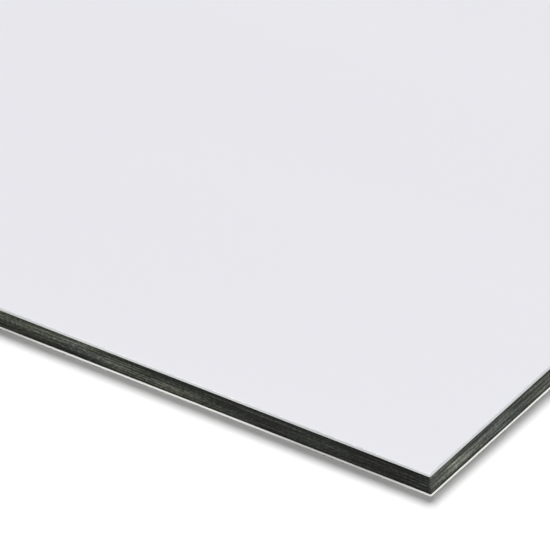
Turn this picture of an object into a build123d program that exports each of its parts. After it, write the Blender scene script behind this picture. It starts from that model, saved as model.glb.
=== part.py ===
from build123d import *
import os

# A flat aluminium composite panel: two coil-coated aluminium skins bonded to a polyethylene core.
# It lies on its back skin, with its length along X, its width along Y and the floor at z = 0.
# The origin is the middle of the back face. All sizes are in millimetres.

# The sheet in plan
sheet_length = 2440.0
sheet_width = 1220.0

# The three layers, from the face down to the back
face_skin_thickness = 0.5
core_thickness = 3.0
back_skin_thickness = 0.5

# The cut edges: the cutter draws the outer arris of each skin over, breaks its corners,
# and leaves the softer core a hair inside the two skins.
rollover_radius = 0.06
skin_corner_radius = 0.2
core_setback = 0.06
core_corner_radius = 0.2

# Heights of the layers above the floor
core_bottom = back_skin_thickness
core_top = core_bottom + core_thickness


def cut_sheet(length, width, thickness, corner_radius):
    """A sheet cut to size, lying on z = 0, with its corners rounded in plan."""
    return extrude(RectangleRounded(length, width, corner_radius), thickness)


def skin(thickness):
    """An aluminium skin with its outer face up: the outer arris is rolled over, the bonded one is square."""
    sheet = cut_sheet(sheet_length, sheet_width, thickness, skin_corner_radius)
    outer_face = sheet.faces().sort_by(Axis.Z)[-1]
    return fillet(outer_face.edges(), rollover_radius)


def face_skin():
    """The coloured skin, bonded on top of the core."""
    return Pos(0, 0, core_top) * skin(face_skin_thickness)


def core():
    """The extruded core, set back from the skins by the same amount all round."""
    slab = cut_sheet(
        sheet_length - 2 * core_setback,
        sheet_width - 2 * core_setback,
        core_thickness,
        core_corner_radius,
    )
    return Pos(0, 0, core_bottom) * slab


def back_skin():
    """The lower skin, turned over so that its outer face lies on the floor."""
    return Pos(0, 0, back_skin_thickness) * Rot(180, 0, 0) * skin(back_skin_thickness)


layers = {
    "face_skin": face_skin(),
    "core": core(),
    "back_skin": back_skin(),
}

os.makedirs("parts", exist_ok=True)
for name, layer in layers.items():
    export_step(layer, f"parts/{name}.step")
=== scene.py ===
import math

import bpy
import numpy as np
from mathutils import Matrix, Vector


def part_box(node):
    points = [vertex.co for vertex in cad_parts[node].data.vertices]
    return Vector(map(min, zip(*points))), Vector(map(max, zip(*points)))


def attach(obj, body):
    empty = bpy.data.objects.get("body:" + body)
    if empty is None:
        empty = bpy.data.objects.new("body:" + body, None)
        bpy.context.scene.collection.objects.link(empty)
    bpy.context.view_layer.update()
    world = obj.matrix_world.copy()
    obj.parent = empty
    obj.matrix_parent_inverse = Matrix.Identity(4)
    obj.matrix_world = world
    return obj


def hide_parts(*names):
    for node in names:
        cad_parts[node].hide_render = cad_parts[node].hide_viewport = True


# An aluminium composite panel: two coil-coated aluminium skins bonded to a polyethylene core.
# It lies on its back skin, its length along X and its width along Y. Lengths are in metres.
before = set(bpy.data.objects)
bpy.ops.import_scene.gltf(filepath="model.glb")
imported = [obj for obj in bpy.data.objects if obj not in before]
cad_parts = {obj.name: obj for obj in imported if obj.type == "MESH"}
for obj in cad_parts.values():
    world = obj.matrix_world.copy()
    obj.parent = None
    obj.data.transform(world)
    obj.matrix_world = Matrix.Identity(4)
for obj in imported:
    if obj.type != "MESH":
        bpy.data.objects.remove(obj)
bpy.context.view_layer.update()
mm = 0.001

# The back skin
# The lower skin of 0.5 mm aluminium coil, bonded under the core. Its underside has a thin matt
# service coat, drawn over the outer arris by the cutter, and its cut edge is bare metal painted
# lighter than the face skin's as painted light, and lighter still on the ends.
skin_corner_radius = 0.2 * mm
rollover_radius = 0.06 * mm
rolled_rings = 8

# The width and height of the broken inner arris, how far the cut wall leans in towards it, how far
# the coat is drawn down the wall, and how far in from the outer arris it can be chipped.
back_broken = (0.04 * mm, 0.06 * mm)
back_lean = 0.08 * mm
back_drawn = 0.06 * mm
chipped = 0.02 * mm

# How far from the broken arris a ring lies that keeps the shading of the wall flat.
support = 0.01 * mm

# Steps along a long edge, along an end and round a corner, and how they crowd towards the corners.
skin_steps = (84, 60, 12)
crowding = 2.07


def edge_line(box, corner_radius, long_steps, short_steps, corner_steps):
    """A walk round a rectangle with round corners, anticlockwise from its front left.

    A circle of the corner's radius is carried round the inner rectangle: each step is the circle's
    centre and an outward normal, which turns by a right angle in each corner. Along a side of half
    length h the steps lie at h tanh(k u) / tanh(k), u from -1 to 1, and so crowd towards the
    corners.
    """
    low, high = box
    left, right = low.x + corner_radius, high.x - corner_radius
    front, rear = low.y + corner_radius, high.y - corner_radius
    corners = np.array([(left, front), (right, front), (right, rear), (left, rear)])
    centre, turn = [], []
    for side, steps in enumerate([long_steps, short_steps, long_steps, short_steps]):
        start, end = corners[side], corners[(side + 1) % 4]
        share = (1 + crowded(steps, crowding)[:-1, None]) / 2
        centre += [start + share * (end - start), np.tile(end, (corner_steps, 1))]
        facing = math.radians(90 * side - 90)
        corner_turn = np.linspace(0, math.pi / 2, corner_steps + 1)[:-1]
        turn += [np.full(steps, facing), facing + corner_turn]
    turn = np.concatenate(turn)
    return np.concatenate(centre), np.stack([np.cos(turn), np.sin(turn)], axis=1)


def crowded(steps, crowding):
    """Places from -1 to 1 that crowd towards both ends: tanh(k u) / tanh(k) for even u."""
    return np.tanh(crowding * np.linspace(-1, 1, steps + 1)) / np.tanh(crowding)


# How much of its size each ring that closes a broad face keeps, and the fewest points that are
# still halved.
ring_share = 0.994
fewest_halved = 128


def close_face(ring, numbers, height, next_number):
    """Points and polygons that close a broad face inwards from its outer ring.

    Each new ring is the last one drawn in towards the middle, with every other point left out, and
    three triangles join two outer steps to one inner step. One flat polygon fills the last ring.
    """
    points, triangles = [np.zeros((0, 3))], [np.zeros((0, 3), int)]
    while len(ring) >= fewest_halved and len(ring) % 2 == 0:
        ring = ring_share * ring[::2]
        inner = next_number + np.arange(len(ring))
        next_number += len(ring)
        first, middle, last = numbers[::2], numbers[1::2], np.roll(numbers[::2], -1)
        inner_on = np.roll(inner, -1)
        triangles += [
            np.stack([first, middle, inner], axis=1),
            np.stack([middle, inner_on, inner], axis=1),
            np.stack([middle, last, inner_on], axis=1),
        ]
        points.append(np.column_stack([ring, np.full(len(ring), height)]))
        numbers = inner
    return np.concatenate(points), np.concatenate(triangles).tolist() + [numbers.tolist()]


def sheet(name, line, corner_radius, inset, height, finishes, under, bands, over):
    """A closed sheet from rings that go round its edge, the lowest first.

    Ring j at step i lies at centre[i] + (corner_radius - inset[j, i]) * normal[i] and height[j].
    under, bands and over number the finish of the lower face, of each band of the edge between
    two rings, and of the upper face. The attribute end_cut is 1 on the ends and 0 on the long
    edges.
    """
    centre, normal = line
    rings, steps = len(height), len(centre)
    inset = np.broadcast_to(inset, (rings, steps))
    plan = centre + (corner_radius - inset)[..., None] * normal
    level = np.broadcast_to(height[:, None, None], (rings, steps, 1))
    wall = np.concatenate([plan, level], axis=2).reshape(-1, 3)
    number = np.arange(rings * steps).reshape(rings, steps)
    on = np.roll(number, -1, axis=1)
    quads = np.stack([number[:-1], on[:-1], on[1:], number[1:]], axis=-1).reshape(-1, 4)
    lower, lower_faces = close_face(plan[0], number[0], height[0], len(wall))
    upper, upper_faces = close_face(plan[-1], number[-1], height[-1], len(wall) + len(lower))
    lower_faces = [face[::-1] for face in lower_faces]
    mesh = bpy.data.meshes.new(name)
    points = np.concatenate([wall, lower, upper]).tolist()
    mesh.from_pydata(points, [], quads.tolist() + lower_faces + upper_faces)
    finish = np.concatenate([
        np.repeat(bands, steps),
        np.full(len(lower_faces), under),
        np.full(len(upper_faces), over),
    ])
    mesh.polygons.foreach_set("material_index", finish)
    mesh.polygons.foreach_set("use_smooth", np.arange(len(mesh.polygons)) < len(quads))
    for material in finishes:
        mesh.materials.append(material)
    mesh.update()
    piece = bpy.data.objects.new(name, mesh)
    bpy.context.scene.collection.objects.link(piece)
    store(piece, "end_cut", np.tile(np.abs(normal[:, 0]), rings))
    lay_out(mesh, rings, steps)
    return piece


# The rows that the edge is cut into, which have to share out its steps evenly, the share of the
# map's height that they take, and the gap along the rim of each patch.
texture_rows = 16
edge_share = 0.8
gutter = 0.002


def lay_out(mesh, rings, steps):
    """The sheet's map for baked textures, most of which goes to its edge, so thin beside the faces.

    The edge is cut into rows of as many steps each, one above the other: along a row u is the share
    of its steps, and across it v is the share of its rings. The two broad faces lie above the rows,
    side by side, by their plan.
    """
    point_of = np.empty(len(mesh.loops), np.int32)
    mesh.loops.foreach_get("vertex_index", point_of)
    place = np.empty(3 * len(mesh.vertices), np.float32)
    mesh.vertices.foreach_get("co", place)
    plan = place.reshape(-1, 3)[point_of, :2]
    across, along = ((plan - plan.min(axis=0)) / np.ptp(plan, axis=0)).T
    edge_end = 4 * (rings - 1) * steps
    is_upper = np.arange(len(plan)) >= (edge_end + len(plan)) / 2
    u = within(is_upper / 2, is_upper / 2 + 0.5, across)
    v = within(edge_share, 1, along)
    row_steps = steps // texture_rows
    row, step = np.divmod(np.tile(np.arange(steps), rings - 1)[:, None], row_steps)
    ring = np.repeat(np.arange(rings - 1), steps)[:, None]
    row_height = edge_share / texture_rows
    u[:edge_end] = within(0, 1, (step + [0, 1, 1, 0]) / row_steps).ravel()
    v[:edge_end] = within(
        row * row_height, (row + 1) * row_height, (ring + [0, 0, 1, 1]) / (rings - 1)
    ).ravel()
    # Baked textures go on a map of this name.
    texture_map = mesh.uv_layers.new(name="OFBake")
    texture_map.uv.foreach_set("vector", np.stack([u, v], axis=1).astype(np.float32).ravel())


def within(low, high, share):
    """That share of the way from low to high, with a gutter left at both ends."""
    return low + gutter + (high - low - 2 * gutter) * share


def store(piece, name, value):
    """Keeps a number at each point of a sheet's edge, and 0 elsewhere, for its material to read."""
    kept = np.zeros(len(piece.data.vertices), np.float32)
    kept[:value.size] = value.ravel()
    piece.data.attributes.new(name, "FLOAT", "POINT").data.foreach_set("value", kept)


def kept(tree, name):
    """A number that store() left on the piece."""
    return add(tree, "ShaderNodeAttribute", {"attribute_name": name}).outputs["Fac"]


def skin_edge(bonded_face, outer_face, broken, lean, drawn):
    """Inset and height of the rings of a skin's edge, from its bonded face to its outer face.

    The bonded arris is broken by that width and height, and the cut wall leans in by lean towards
    it. One ring of the wall lies close to the break and keeps its shading flat, and one lies where
    the coat that the cutter has drawn over it ends. The outer arris is a quarter circle:
    r (1 - sin a) in and r (1 - cos a) short of the outer face, a from 90 to 0 degrees. The last
    ring is as far in as the coat is chipped.
    """
    out = math.copysign(1, outer_face - bonded_face)
    wall = abs(outer_face - bonded_face) - broken[1] - rollover_radius
    paint_end = drawn / wall * lean
    turn = np.radians(np.linspace(90, 0, rolled_rings))
    rolled = rollover_radius * (1 - np.sin(turn))
    near_end = lean - support / wall * lean
    inset = [lean + broken[0], lean, near_end, paint_end, *rolled, rollover_radius + chipped]
    rise = np.array([0, broken[1], broken[1] + support])
    short = np.array([rollover_radius + drawn, *(rollover_radius * (1 - np.cos(turn))), 0])
    height = np.concatenate([bonded_face + out * rise, outer_face - out * short])
    return np.array(inset)[:, None], height


def linear(hex_colour):
    """An sRGB hex colour as linear RGBA, by the sRGB curve."""
    value = np.array([int(hex_colour[place:place + 2], 16) for place in (1, 3, 5)]) / 255
    value = np.where(value <= 0.04045, value / 12.92, ((value + 0.055) / 1.055) ** 2.4)
    return (*value, 1.0)


def add(tree, kind, settings=None, values=None, links=None):
    """Adds a node with its settings, its sockets' values and the outputs that feed its sockets."""
    made = tree.nodes.new(kind)
    for name, value in (settings or {}).items():
        setattr(made, name, value)
    for socket, value in (values or {}).items():
        made.inputs[socket].default_value = value
    for socket, source in (links or {}).items():
        tree.links.new(source, made.inputs[socket])
    return made


def empty_material(name):
    """A node material with no nodes yet, and its tree."""
    material = bpy.data.materials.new(name)
    material.use_nodes = True
    material.node_tree.nodes.clear()
    return material, material.node_tree


def grain(tree, size, detail, end_shift=0.0):
    """A noise whose grains are size = (x, y, z) metres, on the piece's own coordinates.

    On the sheet's ends it is taken end_shift grains further on, so it breaks off at the corners.
    """
    place = add(tree, "ShaderNodeTexCoord")
    scaled = add(
        tree, "ShaderNodeMapping",
        values={"Scale": [1 / length for length in size]},
        links={"Vector": place.outputs["Object"]},
    )
    if end_shift:
        on_end = add(
            tree, "ShaderNodeMath", {"operation": "GREATER_THAN"},
            values={1: 0.5},
            links={0: kept(tree, "end_cut")},
        )
        shift = total(tree, 0.0, [(on_end.outputs["Value"], end_shift)])
        tree.links.new(shift, scaled.inputs["Location"])
    noise = add(
        tree, "ShaderNodeTexNoise",
        values={"Scale": 1.0, "Detail": detail},
        links={"Vector": scaled.outputs["Vector"]},
    )
    return noise.outputs["Fac"]


def ramp(tree, factor, stops):
    """A colour ramp through stops of (place, hex colour)."""
    made = add(tree, "ShaderNodeValToRGB", links={"Fac": factor})
    for _ in stops[2:]:
        made.color_ramp.elements.new(0.5)
    for element, (place, hex_colour) in zip(made.color_ramp.elements, stops):
        element.position = place
        element.color = linear(hex_colour)
    return made.outputs["Color"]


def between(tree, factor, low, high):
    """A number that goes from low to high as factor goes from 0 to 1."""
    made = add(
        tree, "ShaderNodeMapRange",
        values={"To Min": low, "To Max": high},
        links={"Value": factor},
    )
    return made.outputs["Result"]


def total(tree, start, parts):
    """A start value plus each part's output times its weight."""
    result = start
    for output, weight in parts:
        made = add(tree, "ShaderNodeMath", {"operation": "MULTIPLY_ADD"}, {1: weight}, {0: output})
        if result is start:
            made.inputs[2].default_value = start
        else:
            tree.links.new(result, made.inputs[2])
        result = made.outputs["Value"]
    return result


def surface(tree, values, links):
    """The Principled shader and the material's output."""
    shader = add(tree, "ShaderNodeBsdfPrincipled", values=values, links=links)
    add(tree, "ShaderNodeOutputMaterial", links={"Surface": shader.outputs["BSDF"]})


def bare_aluminium(name, dull, bright, on_ends, length, low, high):
    """Bare skin alloy with fine lines of that length along the edge, roughness from low to high.

    It drifts between dull and bright as the cutter heats and cools, and on_ends is added to the
    drift where the sheet was cut across. The lines are drawn as wide as they need to be to show.
    """
    material, tree = empty_material(name)
    slow = grain(tree, (39 * mm, 39 * mm, 39 * mm), detail=1.0)
    drift = total(tree, 0.0, [(slow, 1.0), (kept(tree, "end_cut"), on_ends)])
    lines = grain(tree, (length, length, 0.07 * mm), detail=3.0)
    bump = add(
        tree, "ShaderNodeBump",
        values={"Strength": 0.6, "Distance": 0.01 * mm},
        links={"Height": lines},
    )
    surface(
        tree,
        values={"Metallic": 1.0},
        links={
            "Base Color": ramp(tree, drift, [(0.4, dull), (0.6, bright)]),
            "Roughness": between(tree, lines, low, high),
            "Normal": bump.outputs["Normal"],
        },
    )
    return material


def paint_edge():
    """The chipped edge of the coat: a dull hairline of primer by the arris, darker on the ends."""
    material, tree = empty_material("paint_edge")
    chips = grain(tree, (0.8 * mm, 0.8 * mm, 0.1 * mm), detail=2.0)
    worn = total(tree, 0.0, [(chips, 1.0), (kept(tree, "end_cut"), -0.22)])
    surface(
        tree,
        values={"Roughness": 0.7},
        links={"Base Color": ramp(tree, worn, [(0.25, "#6E6F70"), (0.7, "#E8E9EB")])},
    )
    return material


def bonding_film_and_shade():
    """What shows of the bonding film on a skin's inner face: a dark polymer with some gloss, also
    painted shade.
    """
    material, tree = empty_material("bonding_film_and_shade")
    streaks = grain(tree, (12 * mm, 12 * mm, 12 * mm), detail=3.0)
    surface(
        tree,
        values={"IOR": 1.5},
        links={
            "Base Color": ramp(tree, streaks, [(0.35, "#22231F"), (0.65, "#2F302B")]),
            "Roughness": between(tree, streaks, 0.4, 0.55),
        },
    )
    return material


def service_coat():
    """A thin polyester coat on the back of the coil: matt, with faint bands along the coil."""
    material, tree = empty_material("service_coat")
    bands = grain(tree, (700 * mm, 25 * mm, 25 * mm), detail=3.0)
    peel = grain(tree, (1.2 * mm, 1.2 * mm, 1.2 * mm), detail=2.0)
    bump = add(
        tree, "ShaderNodeBump",
        values={"Strength": 0.5, "Distance": 0.004 * mm},
        links={"Height": peel},
    )
    surface(
        tree,
        values={"IOR": 1.5},
        links={
            "Base Color": ramp(tree, bands, [(0.3, "#CBCCC8"), (0.7, "#CFD0CD")]),
            "Roughness": between(tree, bands, 0.52, 0.64),
            "Normal": bump.outputs["Normal"],
        },
    )
    return material


paint_line, dark_film_and_shade = paint_edge(), bonding_film_and_shade()

# Where the finishes lie on the skin's rings, from the bonded face: the cutter smears the film over
# the arris, where its dark colour is also painted shade above the cut, the wall is cut metal as far
# as the edge of the coat, and the coat covers the rest.
cut, coated, lined, bonded, burnished = range(5)
back_bands = [bonded] + [cut] * 2 + [lined] + [coated] * rolled_rings

back_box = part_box("back_skin")
back_line = edge_line(back_box, skin_corner_radius, *skin_steps)
back_inset, back_height = skin_edge(
    back_box[1].z, back_box[0].z, back_broken, back_lean, back_drawn
)
back_skin = sheet(
    "back_skin_sheet", back_line, skin_corner_radius, back_inset[::-1], back_height[::-1],
    # The cut edge is painted light: lighter than the face skin's cut, and lighter still on the
    # ends.
    [bare_aluminium("cut_aluminium_painted_light", "#DFDFDC", "#F8F8F5", 0.3, 9 * mm, 0.8, 0.95),
     service_coat(), paint_line, dark_film_and_shade],
    coated, back_bands[::-1], bonded,
)
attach(back_skin, "root")
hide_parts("back_skin")

# The core
# One slab of extruded recycled polyethylene, bonded to both skins while hot. The cutter leaves
# long scuffs along its edge, and the softer plastic springs back a little behind the skins.
core_corner_radius = 0.2 * mm

# Steps along a long edge, along an end and round a corner, fine enough for the hollows, then the
# bands up the edge and how they crowd towards the two skins.
core_steps = (1280, 744, 12)
core_bands = 19
core_crowding = 1.5

# The groove that the blade leaves along each skin, the depth of the hollows, and how many waves
# make up a pattern of marks.
groove_depth = 0.13 * mm
groove_width = 0.12 * mm
relief_depth = 0.05 * mm
wave_count = 90

# How dark the line of bonding film and painted shade under each skin is: a little along a long
# edge, the most where it comes to the end of one, and even on the ends, less beside their corners.
film_and_shade_along = 0.1
film_and_shade_at_corner = 1.25
film_and_shade_on_ends = 0.7
corner_reach = 30 * mm


def marks(along, height, longest, widest, seed):
    """Long marks on the cut edge, from 0 to 1 about a mean of 0.5: a sum of waves of random phase.

    Wave n is cos(2 pi (m s / P + z / w) + p): s is the way round the edge of length P, m a whole
    number of turns, z the height, w the mark's width and p the phase, so the marks close round the
    sheet. They are from a tenth of the longest to the longest, and from a fifth of the widest up.
    """
    chance = np.random.default_rng(seed)
    way_round = along[-1]
    length = longest * 10 ** chance.uniform(-1, 0, wave_count)
    width = widest * 5 ** chance.uniform(-1, 0, wave_count)
    turns = np.round(way_round / length) * chance.choice([-1, 1], wave_count)
    phase = chance.uniform(0, 2 * math.pi, wave_count)
    s = along[:-1][None, :, None] / way_round
    z = height[:, None, None]
    waves = np.cos(2 * math.pi * (turns * s + z / width) + phase).sum(axis=2)
    return 0.5 + 0.5 * waves / np.abs(waves).max()


def cut_polyethylene():
    """Recycled low-density polyethylene, sawn: near black, with paler scuffs along the cut.

    The colour drifts between olive and grey, times exp(p): p adds up streaks, scuffs, flecks, the
    slow tone and the paler ends, partly painted light as if the ends were lit more, less painted
    shade in the hollows and the dark line of bonding film and painted shade at each skin.
    """
    material, tree = empty_material("cut_polyethylene")
    drift = grain(tree, (14 * mm, 14 * mm, 3 * mm), detail=2.0)
    streaks = grain(tree, (16 * mm, 16 * mm, 0.26 * mm), detail=1.0, end_shift=3.0)
    scuffs = grain(tree, (4.5 * mm, 4.5 * mm, 0.2 * mm), detail=1.0, end_shift=3.0)
    flecks = grain(tree, (0.5 * mm, 0.5 * mm, 0.2 * mm), detail=0.0)
    torn = total(tree, 0.0, [(streaks, 0.5), (scuffs, 0.5)])
    parts = [
        # The paler ends are partly painted light, as if lit more than the long edges, and hollow
        # paints shade in the hollows.
        (streaks, 2.9), (scuffs, 2.2), (flecks, 2.2), (kept(tree, "hollow"), -0.5),
        (kept(tree, "tone"), 3.0), (kept(tree, "end_cut"), 0.45), (kept(tree, "film_and_shade_line"), -2.6),
    ]
    # The ends show more of the long streaks, and less of the scuffs and flecks.
    for pattern, weight in [(streaks, 1.0), (scuffs, -0.3), (flecks, -0.5)]:
        on_ends = add(
            tree, "ShaderNodeMath", {"operation": "MULTIPLY"},
            links={0: pattern, 1: kept(tree, "end_cut")},
        )
        parts.append((on_ends.outputs["Value"], weight))
    # The start is p where every pattern is nought.
    pale = total(tree, -4.46, parts)
    lightness = add(tree, "ShaderNodeMath", {"operation": "EXPONENT"}, links={0: pale})
    hue = ramp(tree, drift, [(0.35, "#363831"), (0.65, "#353734")])
    colour = add(
        tree, "ShaderNodeVectorMath", {"operation": "SCALE"},
        links={0: hue, "Scale": lightness.outputs["Value"]},
    )
    bump = add(
        tree, "ShaderNodeBump",
        values={"Strength": 0.8, "Distance": 0.04 * mm},
        links={"Height": torn},
    )
    surface(
        tree,
        values={"IOR": 1.5, "Specular IOR Level": 0.1},
        links={
            "Base Color": colour.outputs["Vector"],
            "Roughness": between(tree, scuffs, 0.65, 0.5),
            "Normal": bump.outputs["Normal"],
        },
    )
    return material


core_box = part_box("core")
core_line = edge_line(core_box, core_corner_radius, *core_steps)
core_middle = (core_box[0].z + core_box[1].z) / 2
core_half = (core_box[1].z - core_box[0].z) / 2
core_height = core_middle + core_half * crowded(core_bands, core_crowding)
core_outline = core_line[0] + core_corner_radius * core_line[1]
step_length = np.linalg.norm(np.roll(core_outline, -1, axis=0) - core_outline, axis=1)
core_along = np.concatenate([[0], np.cumsum(step_length)])
below_face, above_back = core_box[1].z - core_height, core_height - core_box[0].z
groove = np.exp(-((np.minimum(below_face, above_back) / groove_width) ** 2))[:, None]

# The dark line of bonding film and painted shade under the skins is a sum of
# share * exp(-(depth / reach)^2): dark right under the face skin with a faint tail below, and
# thinner over the back skin.
film_and_shade_line = sum(
    share * np.exp(-((depth / reach) ** 2))
    for depth, share, reach in [
        (below_face, 0.8, 0.32 * mm), (below_face, 0.2, 1.0 * mm), (above_back, 0.45, 0.2 * mm),
    ]
)
hollow = marks(core_along, core_height, longest=40 * mm, widest=2 * mm, seed=7)

# Each edge is cut in a pass of its own, so the tone of the ends is drawn apart from that of the
# long edges, and swings half as far about the same mean. The seeds of both tones were picked, out
# of many, for their likeness to the two edges that can be seen.
end_cut = np.abs(core_line[1][:, 0])
long_tone = marks(core_along, core_height, longest=200 * mm, widest=12 * mm, seed=15294)
end_tone = marks(core_along, core_height, longest=100 * mm, widest=12 * mm, seed=15324)
tone = (1 - end_cut) * long_tone + end_cut * (0.25 + 0.5 * end_tone)

# by_corner is exp(-(d / corner_reach)^2), d being the distance from the nearest corner.
corner_gap = np.array([core_box[1].x, core_box[1].y]) - np.abs(core_outline)
by_corner = np.exp(-((np.hypot(corner_gap[:, 0], corner_gap[:, 1]) / corner_reach) ** 2))
# How strong the dark line of film and painted shade is round the edge.
long_film_and_shade = film_and_shade_along + film_and_shade_at_corner * by_corner
film = (1 - end_cut) * long_film_and_shade + end_cut * film_and_shade_on_ends * (1 - by_corner)

core = sheet(
    "core_slab", core_line, core_corner_radius, groove_depth * groove + relief_depth * hollow,
    core_height, [cut_polyethylene()], 0, [0] * core_bands, 0,
)
store(core, "hollow", hollow)
store(core, "tone", tone)
# The core's colour is darkened along this line: bonding film and painted shade under the skins.
store(core, "film_and_shade_line", film_and_shade_line[:, None] * film)
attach(core, "root")
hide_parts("core")

# The face skin
# The upper skin of 0.5 mm aluminium coil. It was coated white before it was bonded, so the coat
# stops at the arris, which the cutter has burnished, and the cut wall below it is bare metal
# painted greyer than the back skin's as painted shade.
face_broken = (0.03 * mm, 0.02 * mm)


def coil_coat():
    """White polyester coil coat, put on by roller and stoved: satin, with a faint orange peel."""
    material, tree = empty_material("white_coil_coat")
    bands = grain(tree, (900 * mm, 30 * mm, 30 * mm), detail=3.0)
    peel = grain(tree, (1.6 * mm, 1.2 * mm, 1.2 * mm), detail=2.0)
    bump = add(
        tree, "ShaderNodeBump",
        values={"Strength": 0.5, "Distance": 0.003 * mm},
        links={"Height": peel},
    )
    surface(
        tree,
        values={"IOR": 1.5},
        links={
            "Base Color": ramp(tree, bands, [(0.3, "#E1E1E7"), (0.7, "#E2E2E8")]),
            "Roughness": between(tree, bands, 0.3, 0.34),
            "Normal": bump.outputs["Normal"],
        },
    )
    return material


# From the bonded face: the cut wall, the burnished arris and the chipped edge of the coat.
face_bands = [cut] * 4 + [burnished] * (rolled_rings - 2) + [lined] * 2

face_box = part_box("face_skin")
face_line = edge_line(face_box, skin_corner_radius, *skin_steps)
# Its wall is upright and has no coat drawn over it, so that ring is one more that keeps it flat.
face_inset, face_height = skin_edge(face_box[0].z, face_box[1].z, face_broken, 0, support)
face_skin = sheet(
    "face_skin_sheet", face_line, skin_corner_radius, face_inset, face_height,
    # The cut wall is painted shade: a greyer copy of the same alloy as the back skin's cut.
    [bare_aluminium("cut_aluminium_painted_shade", "#D0D1D2", "#D8D9DA", 0.0, 9 * mm, 0.55, 0.75),
     coil_coat(), paint_line, dark_film_and_shade,
     bare_aluminium("grey_arris", "#D5D6D7", "#E6E7E8", -0.2, 30 * mm, 0.3, 0.4)],
    bonded, face_bands, coated,
)
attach(face_skin, "root")
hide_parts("face_skin")

# The floor
# A plain white studio floor, a hair below the sheet's back so that the two don't share a plane.
floor_half = 60.0
floor_drop = 0.01 * mm

# A little over white, because the lamps and the room light a level surface to a little under it.
floor_white = 1.06

floor_mesh = bpy.data.meshes.new("floor")
floor_mesh.from_pydata(
    [(x, y, -floor_drop) for x, y in [(-1, -1), (1, -1), (1, 1), (-1, 1)]], [], [(0, 1, 2, 3)]
)
floor_mesh.transform(Matrix.Diagonal((floor_half, floor_half, 1, 1)))
floor = bpy.data.objects.new("floor", floor_mesh)
bpy.context.scene.collection.objects.link(floor)
floor_paint, floor_tree = empty_material("floor_white")
floor_shader = add(
    floor_tree, "ShaderNodeBsdfDiffuse",
    values={"Color": (floor_white, floor_white, floor_white, 1.0)},
)
add(floor_tree, "ShaderNodeOutputMaterial", links={"Surface": floor_shader.outputs["BSDF"]})
floor_mesh.materials.append(floor_paint)

# The light
# A soft key from behind the photographed corner, which throws a short soft shadow towards the
# camera from both cut edges, a weaker fill from the front, and an even white room.

# The share of white to which each one lights a level white surface, then where each sun stands and
# how wide it is, in degrees.
world_light = 0.072
key_share = 0.735
fill_share = 0.175
key_azimuth, key_elevation, key_spread = 217.5, 63.2, 27.0
fill_azimuth, fill_elevation, fill_spread = 54.0, 42.0, 60.0


def towards(azimuth, elevation):
    """The unit vector from the sheet at that azimuth and elevation.

    From azimuth 0 one looks along +Y, and from 90 along -X.
    """
    turn, rise = math.radians(azimuth), math.radians(elevation)
    return Vector((
        math.sin(turn) * math.cos(rise),
        -math.cos(turn) * math.cos(rise),
        math.sin(rise),
    ))


def sun(name, share, azimuth, elevation, spread):
    """A sun that lights level white to that share of white: pi * share / sin(elevation)."""
    lamp = bpy.data.lights.new(name, "SUN")
    lamp.energy = math.pi * share / math.sin(math.radians(elevation))
    lamp.angle = math.radians(spread)
    made = bpy.data.objects.new(name, lamp)
    bpy.context.scene.collection.objects.link(made)
    made.rotation_mode = "QUATERNION"
    made.rotation_quaternion = towards(azimuth, elevation).to_track_quat("Z", "Y")


sun("key", key_share, key_azimuth, key_elevation, key_spread)
sun("fill", fill_share, fill_azimuth, fill_elevation, fill_spread)

# The room is white where it is seen straight or in metal, and gives matt surfaces its small share.
# A glossy or transmitted ray counts as seeing it only where no matt surface lies before.
room = bpy.data.worlds.new("white_room")
room.use_nodes = True
room.node_tree.nodes.clear()
ray = add(room.node_tree, "ShaderNodeLightPath")
seen = ray.outputs["Is Camera Ray"]
for kind in ("Is Glossy Ray", "Is Transmission Ray"):
    direct = add(
        room.node_tree, "ShaderNodeMath", {"operation": "SUBTRACT"},
        links={0: ray.outputs[kind], 1: ray.outputs["Diffuse Depth"]},
    )
    either = add(
        room.node_tree, "ShaderNodeMath", {"operation": "MAXIMUM"},
        links={0: seen, 1: direct.outputs["Value"]},
    )
    seen = either.outputs["Value"]
strength = between(room.node_tree, seen, world_light, 1.0)
background = add(
    room.node_tree, "ShaderNodeBackground",
    values={"Color": (1.0, 1.0, 1.0, 1.0)},
    links={"Strength": strength},
)
add(room.node_tree, "ShaderNodeOutputWorld", links={"Surface": background.outputs["Background"]})
bpy.context.scene.world = room
bpy.context.scene.view_settings.view_transform = "Standard"

# The camera
# It looks down on the corner at the right end of the front edge, from the photograph's angle.

# The side of the picture, the corner's place in it and the focal length are in pixels, the sensor
# in millimetres, the angles in degrees, and corner_depth is how far the corner lies along the view.
picture_side = 550.0
corner_across, corner_down = 431.2, 497.75
focal_length = 6658.0
sensor = 36.0
camera_azimuth, camera_elevation, camera_roll = 38.99, 35.48, -4.61
corner_depth = 916.0 * mm

near_corner = Vector((back_box[1].x, back_box[0].y, back_box[0].z))
back = towards(camera_azimuth, camera_elevation)
level = Vector((math.cos(math.radians(camera_azimuth)), math.sin(math.radians(camera_azimuth)), 0))
roll = math.radians(camera_roll)
right = math.cos(roll) * level + math.sin(roll) * back.cross(level)
up = back.cross(right)
shift_right = (corner_across - picture_side / 2) / focal_length * corner_depth
shift_up = (picture_side / 2 - corner_down) / focal_length * corner_depth
place = near_corner + corner_depth * back - shift_right * right - shift_up * up

lens = bpy.data.cameras.new("camera")
lens.sensor_width = sensor
lens.lens = focal_length / picture_side * sensor
lens.clip_start = 0.01
lens.clip_end = 200.0
camera = bpy.data.objects.new("camera", lens)
bpy.context.scene.collection.objects.link(camera)
camera.matrix_world = Matrix.Translation(place) @ Matrix((right, up, back)).transposed().to_4x4()
bpy.context.scene.camera = camera
